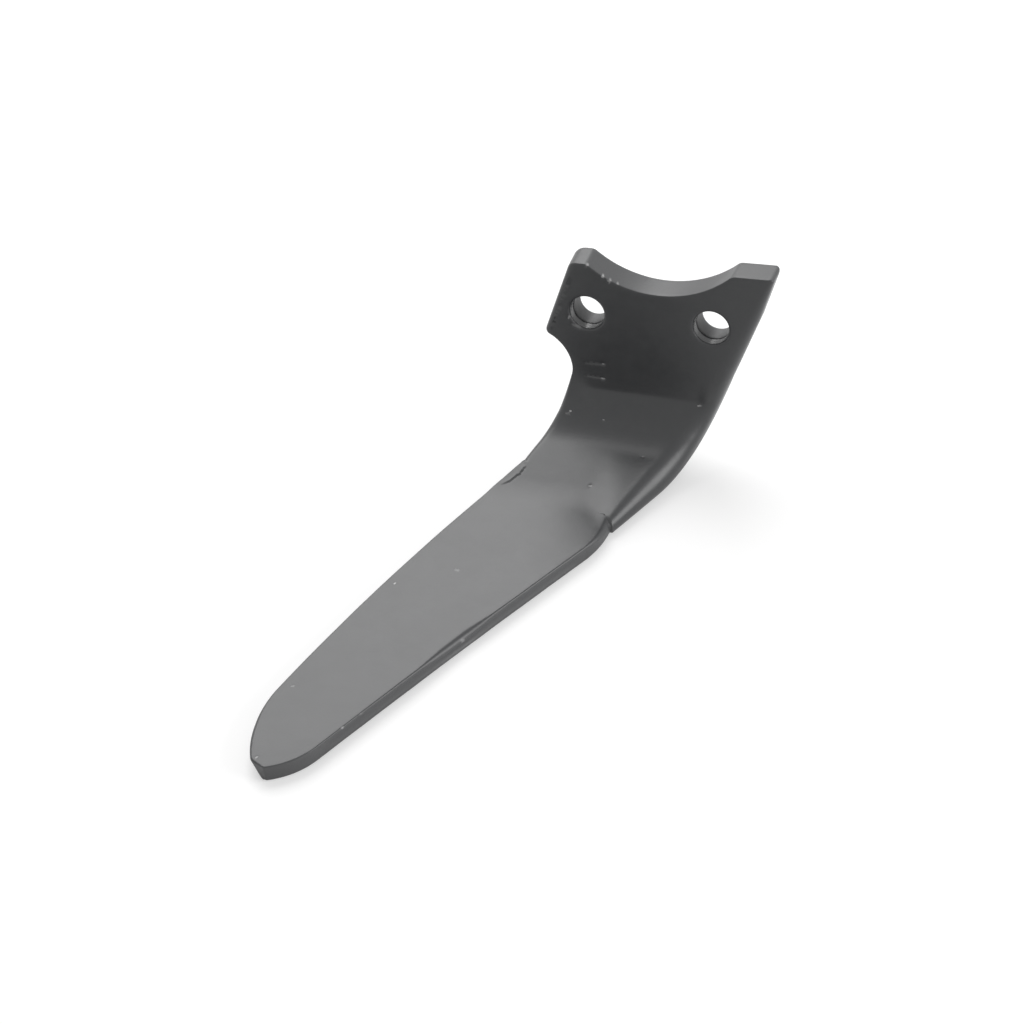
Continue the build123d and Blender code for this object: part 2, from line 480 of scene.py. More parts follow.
class Blank:
    """Sizes of the flat blank, worked out once from the properties."""

    def __init__(self, settings):
        bar, plate, blade = settings.tine_bar, settings.tine_plate, settings.tine_blade
        self.bar, self.plate, self.blade = bar, plate, blade
        self.outer_radius = bar.inner_radius + bar_thickness
        self.mid_radius = bar.inner_radius + bar_thickness / 2
        self.bend_length = self.mid_radius * bend_angle
        self.hole_height = self.bend_length + bar.hole_line_to_bend
        self.across = bar.width / cos(bar.rake)
        self.origin = hole_line - self.bent(Vector((0.0, self.hole_height, bar_thickness)))

    def right_edge(self, height):
        """Bar's right side at a height on the blank."""
        at_holes = self.across / 2 + self.plate.holes_off_middle
        return at_holes + (height - self.hole_height) * tan(self.bar.rake)

    def neck_edge(self, height):
        """Neck's left side at a height on the blank."""
        top = self.right_edge(self.bend_length) - self.plate.neck_width
        return top - (self.bend_length - height) * tan(self.plate.neck_lean)

    def bent(self, place):
        """Where the bend puts a place on the blank, from the end of the bend."""
        turn = min(max(place.y, 0.0), self.bend_length) / self.mid_radius
        past = max(place.y - self.bend_length, 0.0)
        arm = self.outer_radius - place.z
        return Vector((place.x, arm * sin(turn) + past * cos(turn) + min(place.y, 0.0),
                       self.outer_radius - arm * cos(turn) + past * sin(turn)))

    def thickness(self, x, y):
        """Thickness of the blank: full in the plate and the bend, then a ramp and the blade."""
        blade = self.blade
        eased = smooth_step((x + blade.ramp_ease_start) / blade.ramp_ease_width)
        slope = blade.ramp_angle - (blade.ramp_angle - blade.right_ramp_angle) * eased
        turn = np.clip(slope - np.maximum(y, 0.0) / self.mid_radius, 0.0, slope)
        in_bend = self.outer_radius - self.bar.inner_radius / np.cos(turn)
        on_ramp = in_bend + np.minimum(y, 0.0) * np.tan(slope)
        room = blade.ramp_blend * np.tan(slope)
        near = np.maximum(room - np.abs(on_ramp - blade.thickness), 0.0)
        drawn = np.maximum(on_ramp, blade.thickness) + near ** 2 / (4 * room)
        return drawn - self.die_mark(x, y)

    def die_mark(self, x, y):
        """Depth of the mark that the bending die leaves across the inside of the bend."""
        bar = self.bar
        middle = smooth_step((x + 37 * MM) / (10 * MM)) * smooth_step((32 * MM - x) / (9 * MM))
        low = bar.die_low + 0.055 * np.maximum(-16 * MM - x, 0.0) ** 2 / MM
        rise = np.clip((y - low) / np.maximum(bar.die_high - low, 4 * MM), 0.0, 1.0)
        fall = np.clip((self.bend_length - y) / (self.bend_length - bar.die_high), 0.0, 1.0)
        return bar.die_depth * middle * np.minimum(rise, fall ** 2)


def smooth_step(t):
    """Rises smoothly from 0 to 1 as t does."""
    t = np.clip(t, 0.0, 1.0)
    return t * t * (3 - 2 * t)


def plate_sides(blank):
    """Sides of the mounting plate, from the hole line's right end over the top to the ear."""
    plate, bar = blank.plate, blank.bar
    rolled = bar.side_radius
    cut = plate.cut_radius
    slope = tan(plate.end_tilt)
    lean = tan(bar.rake)
    end_line = np.array([0.0, blank.hole_height + plate.end_height])
    along_end = np.array([1.0, slope])

    def end_corner(edge_at_end):
        return end_line + along_end * edge_at_end / (1 - slope * lean)

    right = end_corner(blank.right_edge(end_line[1]) - plate.right_lean)
    left = end_corner(blank.right_edge(end_line[1]) - blank.across)
    bend_right = blank.hole_height + 6 * MM
    hub = np.array([plate.hub_offset, blank.hole_height + plate.hub_height])
    horn_right = crossing(end_line, along_end, hub, plate.hub_radius, True)
    horn_left = crossing(end_line, along_end, hub, plate.hub_radius, False)
    throat_y = blank.hole_height - plate.throat_drop
    throat = np.array([blank.neck_edge(throat_y) - plate.throat_radius / cos(plate.neck_lean),
                       throat_y]) - plate.throat_shift
    ear_edge = np.array([blank.right_edge(throat_y) - blank.across + plate.ear_set_in, throat_y])
    ear = crossing(ear_edge, left - ear_edge, throat, plate.throat_radius, True)
    first = atan2(horn_right[1] - hub[1], horn_right[0] - hub[0])
    last = atan2(horn_left[1] - hub[1], horn_left[0] - hub[0])
    if last > 0:
        last -= 2 * pi
    ear_turn = atan2(ear[1] - throat[1], ear[0] - throat[0])
    knee = (blank.right_edge(bend_right) + plate.swell, bend_right)
    risen = (-0.7 * MM, 0.7 * MM)
    return [
        Side(straight(knee, right), (rolled, rolled / 2), (rolled, rolled), corner=2.5 * MM),
        Side(straight(right, horn_right), (cut, cut), (cut, cut), corner=1.6 * MM, torn=0.4),
        Side(round_about(hub, plate.hub_radius, first, last), (cut, cut), (cut, cut),
             corner=1.6 * MM, torn=0.4, foot=((0, 0), risen)),
        Side(straight(horn_left, left), (cut, cut), (cut, cut), corner=plate.corner_radius,
             torn=0.4, foot=(risen, risen)),
        Side(straight(left, ear), (rolled / 2, rolled / 2), (4 * cut, rolled), corner=2.6 * MM,
             foot=(risen, (0, 0))),
        Side(round_about(throat, plate.throat_radius, ear_turn, -plate.neck_lean), (cut, cut),
             (cut, cut), torn=0.6),
    ]


def neck_sides(blank):
    """Left side of the neck, from the throat round the bend to the blade's left shoulder."""
    plate, blade = blank.plate, blank.blade
    soft, cut = plate.neck_radius, plate.cut_radius
    start = blank.hole_height - plate.throat_drop - plate.throat_radius * sin(plate.neck_lean)
    middle = start - 20 * MM
    foot = -3.5 * MM


    def on_neck(y, out):
        return (blank.neck_edge(y) - out, y)

    flare = (blank.neck_edge(foot) - 2.6 * MM, foot - 2.2 * MM)
    shoulder = (-62.8 * MM, -20.6 * MM)
    return [
        Side(straight(on_neck(start, 0.4 * MM), on_neck(middle, 0.8 * MM)), (cut, soft),
             (cut, 2 * cut), torn=0.3),
        Side(straight(on_neck(middle, 0.8 * MM), on_neck(foot, 1.6 * MM)), (soft, soft * 0.8),
             (2 * cut, 2 * cut), corner=0.8 * MM, torn=0.2),
        Side(straight(on_neck(foot, 1.6 * MM), flare), (soft * 0.7, soft * 0.5), (2 * cut, 2 * cut),
             corner=0.8 * MM),
        Side(straight(flare, shoulder), (soft * 0.4, blade.trimmed_radius),
             (2 * cut, blade.under_radius), corner=3 * MM, torn=0.5),
    ]


# Rounding of the blade's right edge at even stations, with a flat that was dressed near halfway
DRESSED_EDGE = [each * MM for each in (0.7, 0.7, 0.8, 0.9, 1.0, 2.6, 3.0, 1.2, 0.9, 0.9, 1.0, 1.0)]


def blade_sides(blank):
    """Sides of the blade, from the left shoulder round the tip to the right step."""
    blade, bar = blank.blade, blank.bar
    crisp, under = blade.trimmed_radius, blade.under_radius
    tip = np.array([-blade.tip_offset, -blade.reach])
    shoulder = np.array([-62.8, -20.6]) * MM
    left_nose = tip + np.array([-14.4, 44.2]) * MM
    nose_end = left_nose * 0.62 + (tip + np.array([-7.1, 2.7]) * MM) * 0.38
    facet = tip + np.array([-7.1, 2.7]) * MM
    right_nose = tip + np.array([17.1, 16.9]) * MM
    right_shoulder = np.array([-6.0, -53.0]) * MM
    step_y = -33.4 * MM
    bar_edge = blank.right_edge(step_y)
    root = np.array([bar_edge - blade.step, step_y])
    left_edge = bowed(shoulder, left_nose, 2.7 * MM)
    nose = leaving(left_nose, facet, left_edge[-1] - left_edge[-2])
    split = len(nose) // 2
    right_edge = bowed(right_nose, right_shoulder, -0.8 * MM)
    point = leaving(right_nose, tip, right_edge[0] - right_edge[1])[::-1]
    curve = leaving(right_shoulder, root, right_edge[-1] - right_edge[-2])
    drawn = np.array([0.906, -0.423]) * blade.undercut

    def on_right(y):
        return (blank.right_edge(y) + blank.plate.swell, y)

    return [
        Side(left_edge, (crisp, crisp), (under, under), torn=0.5),
        Side(nose[:split + 1], (crisp, blade.nose_bevel), (under, under), torn=0.5,
             foot=((0, 0), drawn * 0.12)),
        Side(nose[split:], (blade.nose_bevel, blade.nose_bevel * 0.5), (under, 0.6 * MM),
             corner=1.6 * MM, torn=0.4, foot=(drawn * 0.12, drawn)),
        Side(straight(facet, tip), (0.9 * MM, 0.5 * MM), (0.6 * MM, 0.5 * MM), corner=0.8 * MM,
             torn=0.6, foot=(drawn, (0, 0))),
        Side(point, (0.5 * MM, 0.7 * MM), (0.5 * MM, under), torn=1.0, hollow=blade.hollow / 2),
        Side(right_edge, DRESSED_EDGE, (under, under), torn=0.8, hollow=blade.hollow),
        Side(curve, (crisp, 2.5 * MM, 4.5 * MM), (under, 3.0 * MM), corner=0.35 * MM, torn=0.5),
        Side(straight(root, (bar_edge, step_y)), (4.5 * MM, 4.5 * MM), (3.0 * MM, 3.0 * MM),
             corner=0.35 * MM, torn=0.6),
        Side(straight((bar_edge, step_y), on_right(0.0)),
             (4.6 * MM, bar.root_radius), (3.1 * MM, bar.side_radius)),
        Side(straight(on_right(0.0), on_right(blank.bend_length)),
             (bar.root_radius, bar.worked_radius), (bar.side_radius, bar.side_radius)),
        Side(straight(on_right(blank.bend_length), on_right(blank.hole_height + 6 * MM)),
             (bar.worked_radius, bar.side_radius), (bar.side_radius, bar.side_radius)),
    ]


# Marks of use on the upper face: x, y, length, width (mm), turn (degrees), how bare, how deep (mm)
MARKS = (
    (-38.9, 85.2, 1.6, 0.8, 70, 0.5, 0.10),
    (-35.4, 81.0, 4.2, 1.1, -20, 0.22, 0.20),
    (-27.5, 61.8, 9.0, 0.7, 4, 0.10, 0.12),
    (-22.9, 62.3, 1.2, 0.7, 4, 0.55, 0.12),
    (-27.0, 53.2, 8.5, 0.8, -3, 0.12, 0.12),
    (-23.3, 53.0, 1.8, 0.9, -6, 0.60, 0.15),
    (-37.7, 31.4, 1.0, 0.8, 0, 1.0, 0.12),
    (-38.9, 29.9, 2.4, 0.6, 30, 0.2, 0.05),
    (-20.7, 28.9, 0.9, 0.6, 0, 0.5, 0.10),
    (23.9, 44.1, 0.9, 0.7, 0, 0.7, 0.10),
    (-17.0, -12.8, 1.6, 0.8, 8, 0.5, 0.12),
    (2.8, 8.9, 0.9, 0.9, 0, 0.18, 0.08),
    (-82.0, -97.0, 1.3, 0.8, 75, 0.9, 0.12),
    (-57.8, -81.7, 2.2, 0.9, 10, 0.22, 0.08),
    (-39.2, -122.8, 1.4, 0.8, 40, 0.35, 0.10),
    (-59.3, -171.9, 1.2, 0.8, 60, 0.8, 0.12),
    (-64.1, -177.4, 1.1, 0.7, 0, 0.5, 0.10),
    (-68.1, -187.2, 1.5, 0.8, 0, 0.7, 0.10),
    (-99.6, -169.8, 1.6, 0.9, 40, 0.3, 0.08),
    (-96.6, -212.6, 1.2, 0.8, 60, 0.6, 0.10),
    (-28.1, 114.4, 2.0, 1.0, 30, 0.8, 0.10),
    (-21.1, 109.0, 1.6, 0.9, 30, 0.9, 0.10),
    (-17.8, 107.4, 2.2, 0.9, 20, 0.6, 0.10),
    (-14.0, 106.3, 1.6, 0.9, 15, 0.6, 0.10),
)
LAP_CREASE = ((-50.6, -6.5), (-52.0, -11.5), (-55.6, -17.2), (-59.6, -20.4))
LAP_HEIGHT = 0.55 * MM
LAP_WIDTH = 4.0 * MM


def mark_distance(mark, x, y):
    """Distance from a mark's middle, where 1 is its rim."""
    turn = radians(mark[4])
    dx, dy = x - mark[0] * MM, y - mark[1] * MM
    along = dx * cos(turn) + dy * sin(turn)
    over = -dx * sin(turn) + dy * cos(turn)
    return np.hypot(along / (mark[2] * MM / 2), over / (mark[3] * MM / 2))


def beside_crease(x, y):
    """Signed distance from the lap's crease, positive towards the middle of the blade."""
    crease = np.array(LAP_CREASE) * MM
    best = np.full(np.shape(x), 1.0)
    signed = np.full(np.shape(x), 1.0)
    along = np.zeros(np.shape(x))
    for number, (a, b) in enumerate(zip(crease[:-1], crease[1:])):
        run = b - a
        t = np.clip(((x - a[0]) * run[0] + (y - a[1]) * run[1]) / (run @ run), 0.0, 1.0)
        dx, dy = x - a[0] - run[0] * t, y - a[1] - run[1] * t
        away = np.hypot(dx, dy)
        nearer = away < best
        best = np.where(nearer, away, best)
        signed = np.where(nearer, np.sign(run[0] * dy - run[1] * dx) * away, signed)
        along = np.where(nearer, (number + t) / (len(crease) - 1), along)
    return signed, along


def lap(x, y):
    """Height of the thin lap of metal folded over at the left shoulder."""
    signed, along = beside_crease(x, y)
    run_out = np.clip(np.minimum(along / 0.15, (1 - along) / 0.3), 0.0, 1.0)
    outside = np.clip(1 + signed / LAP_WIDTH, 0.0, 1.0) * (signed < 0)
    groove = np.exp(-(signed / (0.45 * MM)) ** 2)
    return run_out * (LAP_HEIGHT * outside ** 2 - 0.25 * MM * groove)


# The blank's mesh


TOP_ROWS = 8
WALL_ROWS = 7
UNDER_ROWS = 6
GRID = 1.6 * MM


def rim_rows(blank, outline):
    """Rows of vertices from the upper face over the side to the lower face."""
    points, (top, under, torn) = outline[:, :2], outline[:, 2:5].T
    hollow, foot, top_shift, under_shift = (outline[:, k:k + 2] for k in (5, 7, 9, 11))
    rows = []
    for k in range(TOP_ROWS + 1):
        turn = k / TOP_ROWS * pi / 2
        place = points + top_shift * (1 - sin(turn))
        height = blank.thickness(place[:, 0], place[:, 1]) - top * (1 - cos(turn))
        rows.append((place, height, torn * (k / TOP_ROWS) ** 2))
    wall_top = rows[-1][1]
    for k in range(1, WALL_ROWS):
        t = k / WALL_ROWS
        rows.append((points + foot * t + hollow * 4 * t * (1 - t),
                     wall_top + (under - wall_top) * t, torn))
    for k in range(UNDER_ROWS + 1):
        turn = k / UNDER_ROWS * pi / 2
        place = points + foot + under_shift * (1 - cos(turn))
        rows.append((place, under * (1 - sin(turn)), torn * (1 - k / UNDER_ROWS)))
    return rows


def hole_rows(centre, plate):
    """Rows of vertices through a punched hole: rolled rim, burnished band, torn band, back rim."""
    count = steps(2 * pi * hole_radius)
    turn = -2 * pi * np.arange(count) / count
    ring = np.stack([np.cos(turn), np.sin(turn)], 1)
    rim, step = plate.punch_radius, plate.torn_step
    profile = []
    for k in range(TOP_ROWS + 1):
        angle = k / TOP_ROWS * pi / 2
        profile.append((rim * (1 - sin(angle)), bar_thickness - rim * (1 - cos(angle)), 0.0))
    band_end = bar_thickness - plate.burnished_depth
    for height in np.linspace(bar_thickness - rim, band_end, 5)[1:]:
        profile.append((0.0, height, -1.0))
    back = plate.cut_radius
    torn_run = np.linspace(band_end - 0.5 * MM, back, 8)
    for number, height in enumerate(torn_run):
        profile.append((-step * (1 + number / 7), height, 1.0))
    for k in range(1, UNDER_ROWS + 1):
        angle = k / UNDER_ROWS * pi / 2
        profile.append((-2 * step + back * (1 - cos(angle)), back * (1 - sin(angle)), 0.5))
    return [(np.array(centre) + ring * (hole_radius + out), np.full(count, height), torn)
            for out, height, torn in profile]


def inside(points, ring):
    """Which points lie inside a closed ring."""
    x, y = points[:, 0][:, None], points[:, 1][:, None]
    a, b = ring, np.roll(ring, -1, axis=0)
    crosses = (a[:, 1] > y) != (b[:, 1] > y)
    rise = np.where(b[:, 1] == a[:, 1], 1.0, b[:, 1] - a[:, 1])
    at = a[:, 0] + (y - a[:, 1]) * (b[:, 0] - a[:, 0]) / rise
    return (np.sum(crosses & (x < at), axis=1) % 2).astype(bool)


def nearest(points, others):
    """Distance from each point to the nearest of the others."""
    return np.concatenate([
        np.sqrt(((part[:, None] - others[None]) ** 2).sum(2).min(1))
        for part in np.array_split(points, max(1, len(points) // 1500))])


def lattice(low, high, spacing):
    """Staggered points over a rectangle."""
    rows = np.arange(low[1], high[1], spacing * 0.87)
    points = [np.stack([np.arange(low[0] + (n % 2) * spacing / 2, high[0], spacing),
                        np.full(len(np.arange(low[0] + (n % 2) * spacing / 2, high[0], spacing)),
                                y)], 1) for n, y in enumerate(rows)]
    return np.concatenate(points)


def mark_points():
    """Extra points that give each mark its own small ring of vertices."""
    points = []
    for x, y, long, wide, turn, _, _ in MARKS:
        turn = radians(turn)
        count = 8 if long < 3 else 16
        for scale, phase in ((0.0, 0.0), (0.62, 0.0), (1.0, 0.5), (1.5, 0.0)):
            for k in range(count if scale else 1):
                around = 2 * pi * (k + phase) / count
                a, b = long / 2 * scale * cos(around), wide / 2 * scale * sin(around)
                points.append(((x + a * cos(turn) - b * sin(turn)) * MM,
                               (y + a * sin(turn) + b * cos(turn)) * MM))
    return np.array(points)


def face_points(outer, holes, fine):
    """Points inside a face: a lattice, finer where the fine patches say."""
    rings = np.concatenate([outer] + holes)
    low, high = outer.min(0), outer.max(0)
    spread = lattice(low, high, GRID)
    spread = spread[nearest(spread, rings) > GRID * 0.62]
    for patch in fine:
        patch = patch[nearest(patch, rings) > 0.3 * MM]
        spread = spread[nearest(spread, patch) > 0.55 * MM]
        spread = np.concatenate([spread, patch])
    keep = inside(spread, outer)
    for hole in holes:
        keep &= ~inside(spread, hole)
    return spread[keep]


def triangulate(outer, holes, inner_points):
    """Triangles over a face between its rings. Vertices are the rings' and then the inner ones."""
    rings = [outer] + holes
    points = np.concatenate(rings + [inner_points])
    edges, start = [], 0
    for ring in rings:
        count = len(ring)
        edges += [(start + k, start + (k + 1) % count) for k in range(count)]
        start += count
    result = delaunay_2d_cdt([Vector(p) for p in points], edges, [], 0, 1e-9)
    if len(result[0]) != len(points):
        raise RuntimeError("the face's rings cross or touch")
    faces = np.array(result[2])
    middle = points[faces].mean(1)
    keep = inside(middle, outer)
    for hole in holes:
        keep &= ~inside(middle, hole)
    return faces[keep]


class MeshParts:
    """Vertices, faces and vertex values, gathered piece by piece."""

    def __init__(self):
        self.places, self.faces, self.torn, self.upper = [], [], [], []
        self.count = 0

    def add(self, place, height, torn, upper):
        """Adds vertices and gives their numbers."""
        height = np.broadcast_to(height, len(place))
        self.places.append(np.column_stack([place, height]))
        self.torn.append(np.broadcast_to(torn, len(place)))
        self.upper.append(np.full(len(place), upper))
        numbers = np.arange(self.count, self.count + len(place))
        self.count += len(place)
        return numbers

    def add_rim(self, rows):
        """Adds a ring of rows and the faces between them. Gives its first and last rows."""
        numbers = [self.add(place, height, torn, float(k <= TOP_ROWS))
                   for k, (place, height, torn) in enumerate(rows)]
        for upper, lower in zip(numbers[:-1], numbers[1:]):
            upper_next, lower_next = np.roll(upper, -1), np.roll(lower, -1)
            self.faces += np.column_stack([upper, lower, lower_next, upper_next]).tolist()
        return numbers[0], numbers[-1]


def blank_mesh(blank):
    """Mesh of the trimmed flat blank, before it is bent."""
    parts = MeshParts()
    sides = plate_sides(blank) + neck_sides(blank) + blade_sides(blank)
    rims = [rim_rows(blank, join(sides))]
    for side in (-1, 1):
        rims.append(hole_rows((side * hole_spacing / 2, blank.hole_height), blank.plate))
    upper_rings, lower_rings = [], []
    for rows in rims:
        first, last = parts.add_rim(rows)
        upper_rings.append(first)
        lower_rings.append(last)
    lap_patch = lattice(np.array([-60.5, -22.0]) * MM, np.array([-48.0, -5.0]) * MM, 0.6 * MM)
    fine = [lap_patch, mark_points()]
    places = np.concatenate(parts.places)
    for rings, patches, upper in ((upper_rings, fine, 1.0), (lower_rings, [], 0.0)):
        loops = [places[ring][:, :2] for ring in rings]
        inner = face_points(loops[0], loops[1:], patches)
        height = blank.thickness(inner[:, 0], inner[:, 1]) if upper else 0.0
        numbers = np.concatenate(rings + [parts.add(inner, height, 0.0, upper)])
        faces = numbers[triangulate(loops[0], loops[1:], inner)]
        parts.faces += (faces if upper else faces[:, ::-1]).tolist()
    return parts


def work_marks(parts):
    """Presses the marks and the lap into the upper face. Gives bareness for each vertex."""
    places = np.concatenate(parts.places)
    upper = np.concatenate(parts.upper)
    bare = np.zeros(len(places))
    x, y = places[:, 0].copy(), places[:, 1].copy()
    for mark in MARKS:
        near = np.clip((1.45 - mark_distance(mark, x, y)) / 0.5, 0.0, 1.0) * upper
        bare = np.maximum(bare, near * mark[5])
        places[:, 2] -= near * mark[6] * MM
    places[:, 2] += lap(x, y) * upper
    return places, bare


def set_attribute(mesh, name, values):
    """Stores one number for each vertex."""
    attribute = mesh.attributes.new(name, "FLOAT", "POINT")
    attribute.data.foreach_set("value", np.asarray(values, dtype=np.float32))


# The bend, as a node tree


def group_socket(tree, name, kind, way="INPUT", default=None):
    """Adds an input or output to a node group. Gives its identifier."""
    item = tree.interface.new_socket(name=name, in_out=way, socket_type=kind)
    if default is not None:
        item.default_value = default
    return item.identifier


def bend_tree():
    """Node group that waves the blank's surface a little and turns its plate up."""
    tree = bpy.data.node_groups.new("bend_blank", "GeometryNodeTree")
    number = "NodeSocketFloat"
    keys = {"Geometry": group_socket(tree, "Geometry", "NodeSocketGeometry")}
    for name in ("Bend radius", "Bar thickness", "Bend angle", "Wave height", "Wave size",
                 "Grain height", "Grain size"):
        keys[name] = group_socket(tree, name, number)
    keys["Origin"] = group_socket(tree, "Origin", "NodeSocketVector")
    keys["Material"] = group_socket(tree, "Material", "NodeSocketMaterial")
    group_socket(tree, "Geometry", "NodeSocketGeometry", "OUTPUT")
    given = add_node(tree, "NodeGroupInput")

    def taken(name):
        return Value(tree, given.outputs[name])

    place = output(tree, "GeometryNodeInputPosition", "Position")
    normal = output(tree, "GeometryNodeInputNormal", "Normal")
    rough = output(tree, "GeometryNodeInputNamedAttribute", "Attribute", {"data_type": "FLOAT"},
                   {"Name": "torn"})
    waves = output(tree, "ShaderNodeTexNoise", "Fac", None,
                   {"Vector": place, "Scale": 1.0 / taken_or_one(taken("Wave size")),
                    "Detail": 1.5})
    grain = output(tree, "ShaderNodeTexNoise", "Fac", None,
                   {"Vector": place, "Scale": 1.0 / taken_or_one(taken("Grain size")),
                    "Detail": 2.0})
    height = (waves - 0.5) * taken("Wave height") + (grain - 0.5) * taken("Grain height") * rough
    push = output(tree, "ShaderNodeVectorMath", "Vector", {"operation": "SCALE"},
                  {"Vector": normal, "Scale": height})
    uneven = output(tree, "GeometryNodeSetPosition", "Geometry", None,
                    {"Geometry": taken("Geometry"), "Offset": push})

    split = add_node(tree, "ShaderNodeSeparateXYZ", None, {0: place})
    x, y, z = (Value(tree, split.outputs[k]) for k in range(3))
    outer = taken("Bend radius") + taken("Bar thickness")
    middle = taken("Bend radius") + taken("Bar thickness") * 0.5
    bend_length = middle * taken("Bend angle")
    turn = y.at_least(0.0).at_most(bend_length) / middle
    past = (y - bend_length).at_least(0.0)
    arm = outer - z
    new_y = arm * turn.sine() + past * turn.cosine() + y.at_most(0.0)
    new_z = outer - arm * turn.cosine() + past * turn.sine()
    bent = output(tree, "ShaderNodeCombineXYZ", "Vector", None,
                  {0: x, 1: new_y, 2: new_z.at_least(0.0)})
    moved = output(tree, "ShaderNodeVectorMath", "Vector", {"operation": "ADD"},
                   {0: bent, 1: taken("Origin")})
    shaped = output(tree, "GeometryNodeSetPosition", "Geometry", None,
                    {"Geometry": uneven, "Position": moved})
    whole = output(tree, "GeometryNodeRealizeInstances", "Geometry", None, {"Geometry": shaped})
    painted = output(tree, "GeometryNodeSetMaterial", "Geometry", None,
                     {"Geometry": whole, "Material": taken("Material")})
    add_node(tree, "NodeGroupOutput", None, {"Geometry": painted})
    return tree, keys


def taken_or_one(value):
    """A size that is never zero."""
    return value.at_least(1e-4)


def bake(scene_object):
    """Turns an object's evaluated modifiers into its plain mesh."""
    graph = bpy.context.evaluated_depsgraph_get()
    mesh = bpy.data.meshes.new_from_object(scene_object.evaluated_get(graph))
    scene_object.modifiers.clear()
    old = scene_object.data
    scene_object.data = mesh
    bpy.data.meshes.remove(old)
    mesh.name = scene_object.name


# Materials


def new_material(name):
    """A material that uses nodes, with its node tree emptied."""
    material = bpy.data.materials.new(name)
    material.use_nodes = True
    tree = material.node_tree
    tree.nodes.clear()
    return material, tree


def satin_paint(paint):
    """Satin black paint, thinner on worn edges, rougher on torn sides, bare in the chips. The torn
    sides are also painted lighter, partly as thin dry paint and partly as painted light for the light
    that the sides catch.
    """
    material, tree = new_material("satin_black_paint")
    place = output(tree, "ShaderNodeTexCoord", "Object")
    torn = output(tree, "ShaderNodeAttribute", "Fac", {"attribute_name": "torn"})
    bare = output(tree, "ShaderNodeAttribute", "Fac", {"attribute_name": "bare"})
    clouds = noise(tree, place, 30 * MM, 3.0, 0.55)
    mottle = noise(tree, place, 5 * MM, 4.0, 0.6)
    peel = noise(tree, place, 1.1 * MM, 2.0, 0.5)
    grit = noise(tree, place, 0.7 * MM, 3.0, 0.7)

    # The torn sides get the faded and then the lighter torn colour: partly thin dry paint, partly
    # painted light for the light that the sides catch.
    thin = (clouds * 0.5 + mottle * 0.5 - 0.35) * 1.1 + torn * grit * 0.6
    painted = mix_colour(tree, thin.at_least(0.0).at_most(1.0), tuple(paint.paint),
                         tuple(paint.faded))
    dry_and_painted_light = mix_colour(tree, (torn * (0.7 + grit * 0.6)).at_least(0.0).at_most(1.0), painted,
                     tuple(paint.torn))
    colour_out = mix_colour(tree, bare, dry_and_painted_light, tuple(paint.steel))
    gloss = paint.roughness + (mottle - 0.5) * 0.10 + (clouds - 0.5) * 0.08
    rough = gloss + torn * (paint.cut_roughness - paint.roughness)
    bump = (peel * 0.4 + mottle * 1.0) + torn * grit * 1.6
    normal = output(tree, "ShaderNodeBump", "Normal", None,
                    {"Strength": 0.35, "Distance": 0.12 * MM, "Height": bump})
    shader = output(tree, "ShaderNodeBsdfPrincipled", "BSDF", None,
                    {"Base Color": colour_out, "Roughness": rough, "Normal": normal,
                     "Specular IOR Level": 0.5})
    add_node(tree, "ShaderNodeOutputMaterial", None, {"Surface": shader})
    return material


def seen_or_reflected(tree):
    """1 for rays that show the background: from the camera, or by way of gloss or glass."""
    path = add_node(tree, "ShaderNodeLightPath")
    seen = Value(tree, path.outputs["Is Camera Ray"])
    glossy = Value(tree, path.outputs["Is Glossy Ray"])
    through = Value(tree, path.outputs["Is Transmission Ray"])
    return (seen + glossy + through).at_most(1.0)


def floor_paper(studio):
    """Pale floor that looks white and still keeps the shadow."""
    material, tree = new_material("floor_paper")
    matt = output(tree, "ShaderNodeBsdfDiffuse", "BSDF", None,
                  {"Color": (*studio.floor, 1.0)})
    glow = output(tree, "ShaderNodeEmission", "Emission", None,
                  {"Strength": seen_or_reflected(tree) * studio.floor_glow})
    both = output(tree, "ShaderNodeAddShader", "Shader", None, {0: matt, 1: glow})
    add_node(tree, "ShaderNodeOutputMaterial", None, {"Surface": both})
    return material


# Operators


class TINE_OT_forge(bpy.types.Operator):
    """Make the painted tine from a trimmed, drawn-down and bent blank"""
    bl_idname = "tine.forge"
    bl_label = "Forge the tine"

    def execute(self, context):
        settings = context.scene
        blank = Blank(settings)
        parts = blank_mesh(blank)
        places, bare = work_marks(parts)
        mesh = bpy.data.meshes.new("forged_tine")
        mesh.from_pydata(places.tolist(), [], parts.faces)
        set_attribute(mesh, "torn", np.concatenate(parts.torn))
        set_attribute(mesh, "bare", bare)
        mesh.polygons.foreach_set("use_smooth", [True] * len(mesh.polygons))
        tine = bpy.data.objects.new("forged_tine", mesh)
        context.scene.collection.objects.link(tine)
        tree, keys = bend_tree()
        modifier = tine.modifiers.new("bend", "NODES")
        modifier.node_group = tree
        inputs = {
            "Bend radius": settings.tine_bar.inner_radius,
            "Bar thickness": bar_thickness,
            "Bend angle": bend_angle,
            "Wave height": settings.tine_bar.waviness,
            "Wave size": settings.tine_bar.wave_size,
            "Grain height": 0.25 * MM,
            "Grain size": 2.2 * MM,
            "Origin": blank.origin,
            "Material": satin_paint(settings.tine_paint),
        }
        for name, value in inputs.items():
            modifier[keys[name]] = value
        bake(tine)
        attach(tine, BODY)
        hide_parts(NODE)
        return {"FINISHED"}


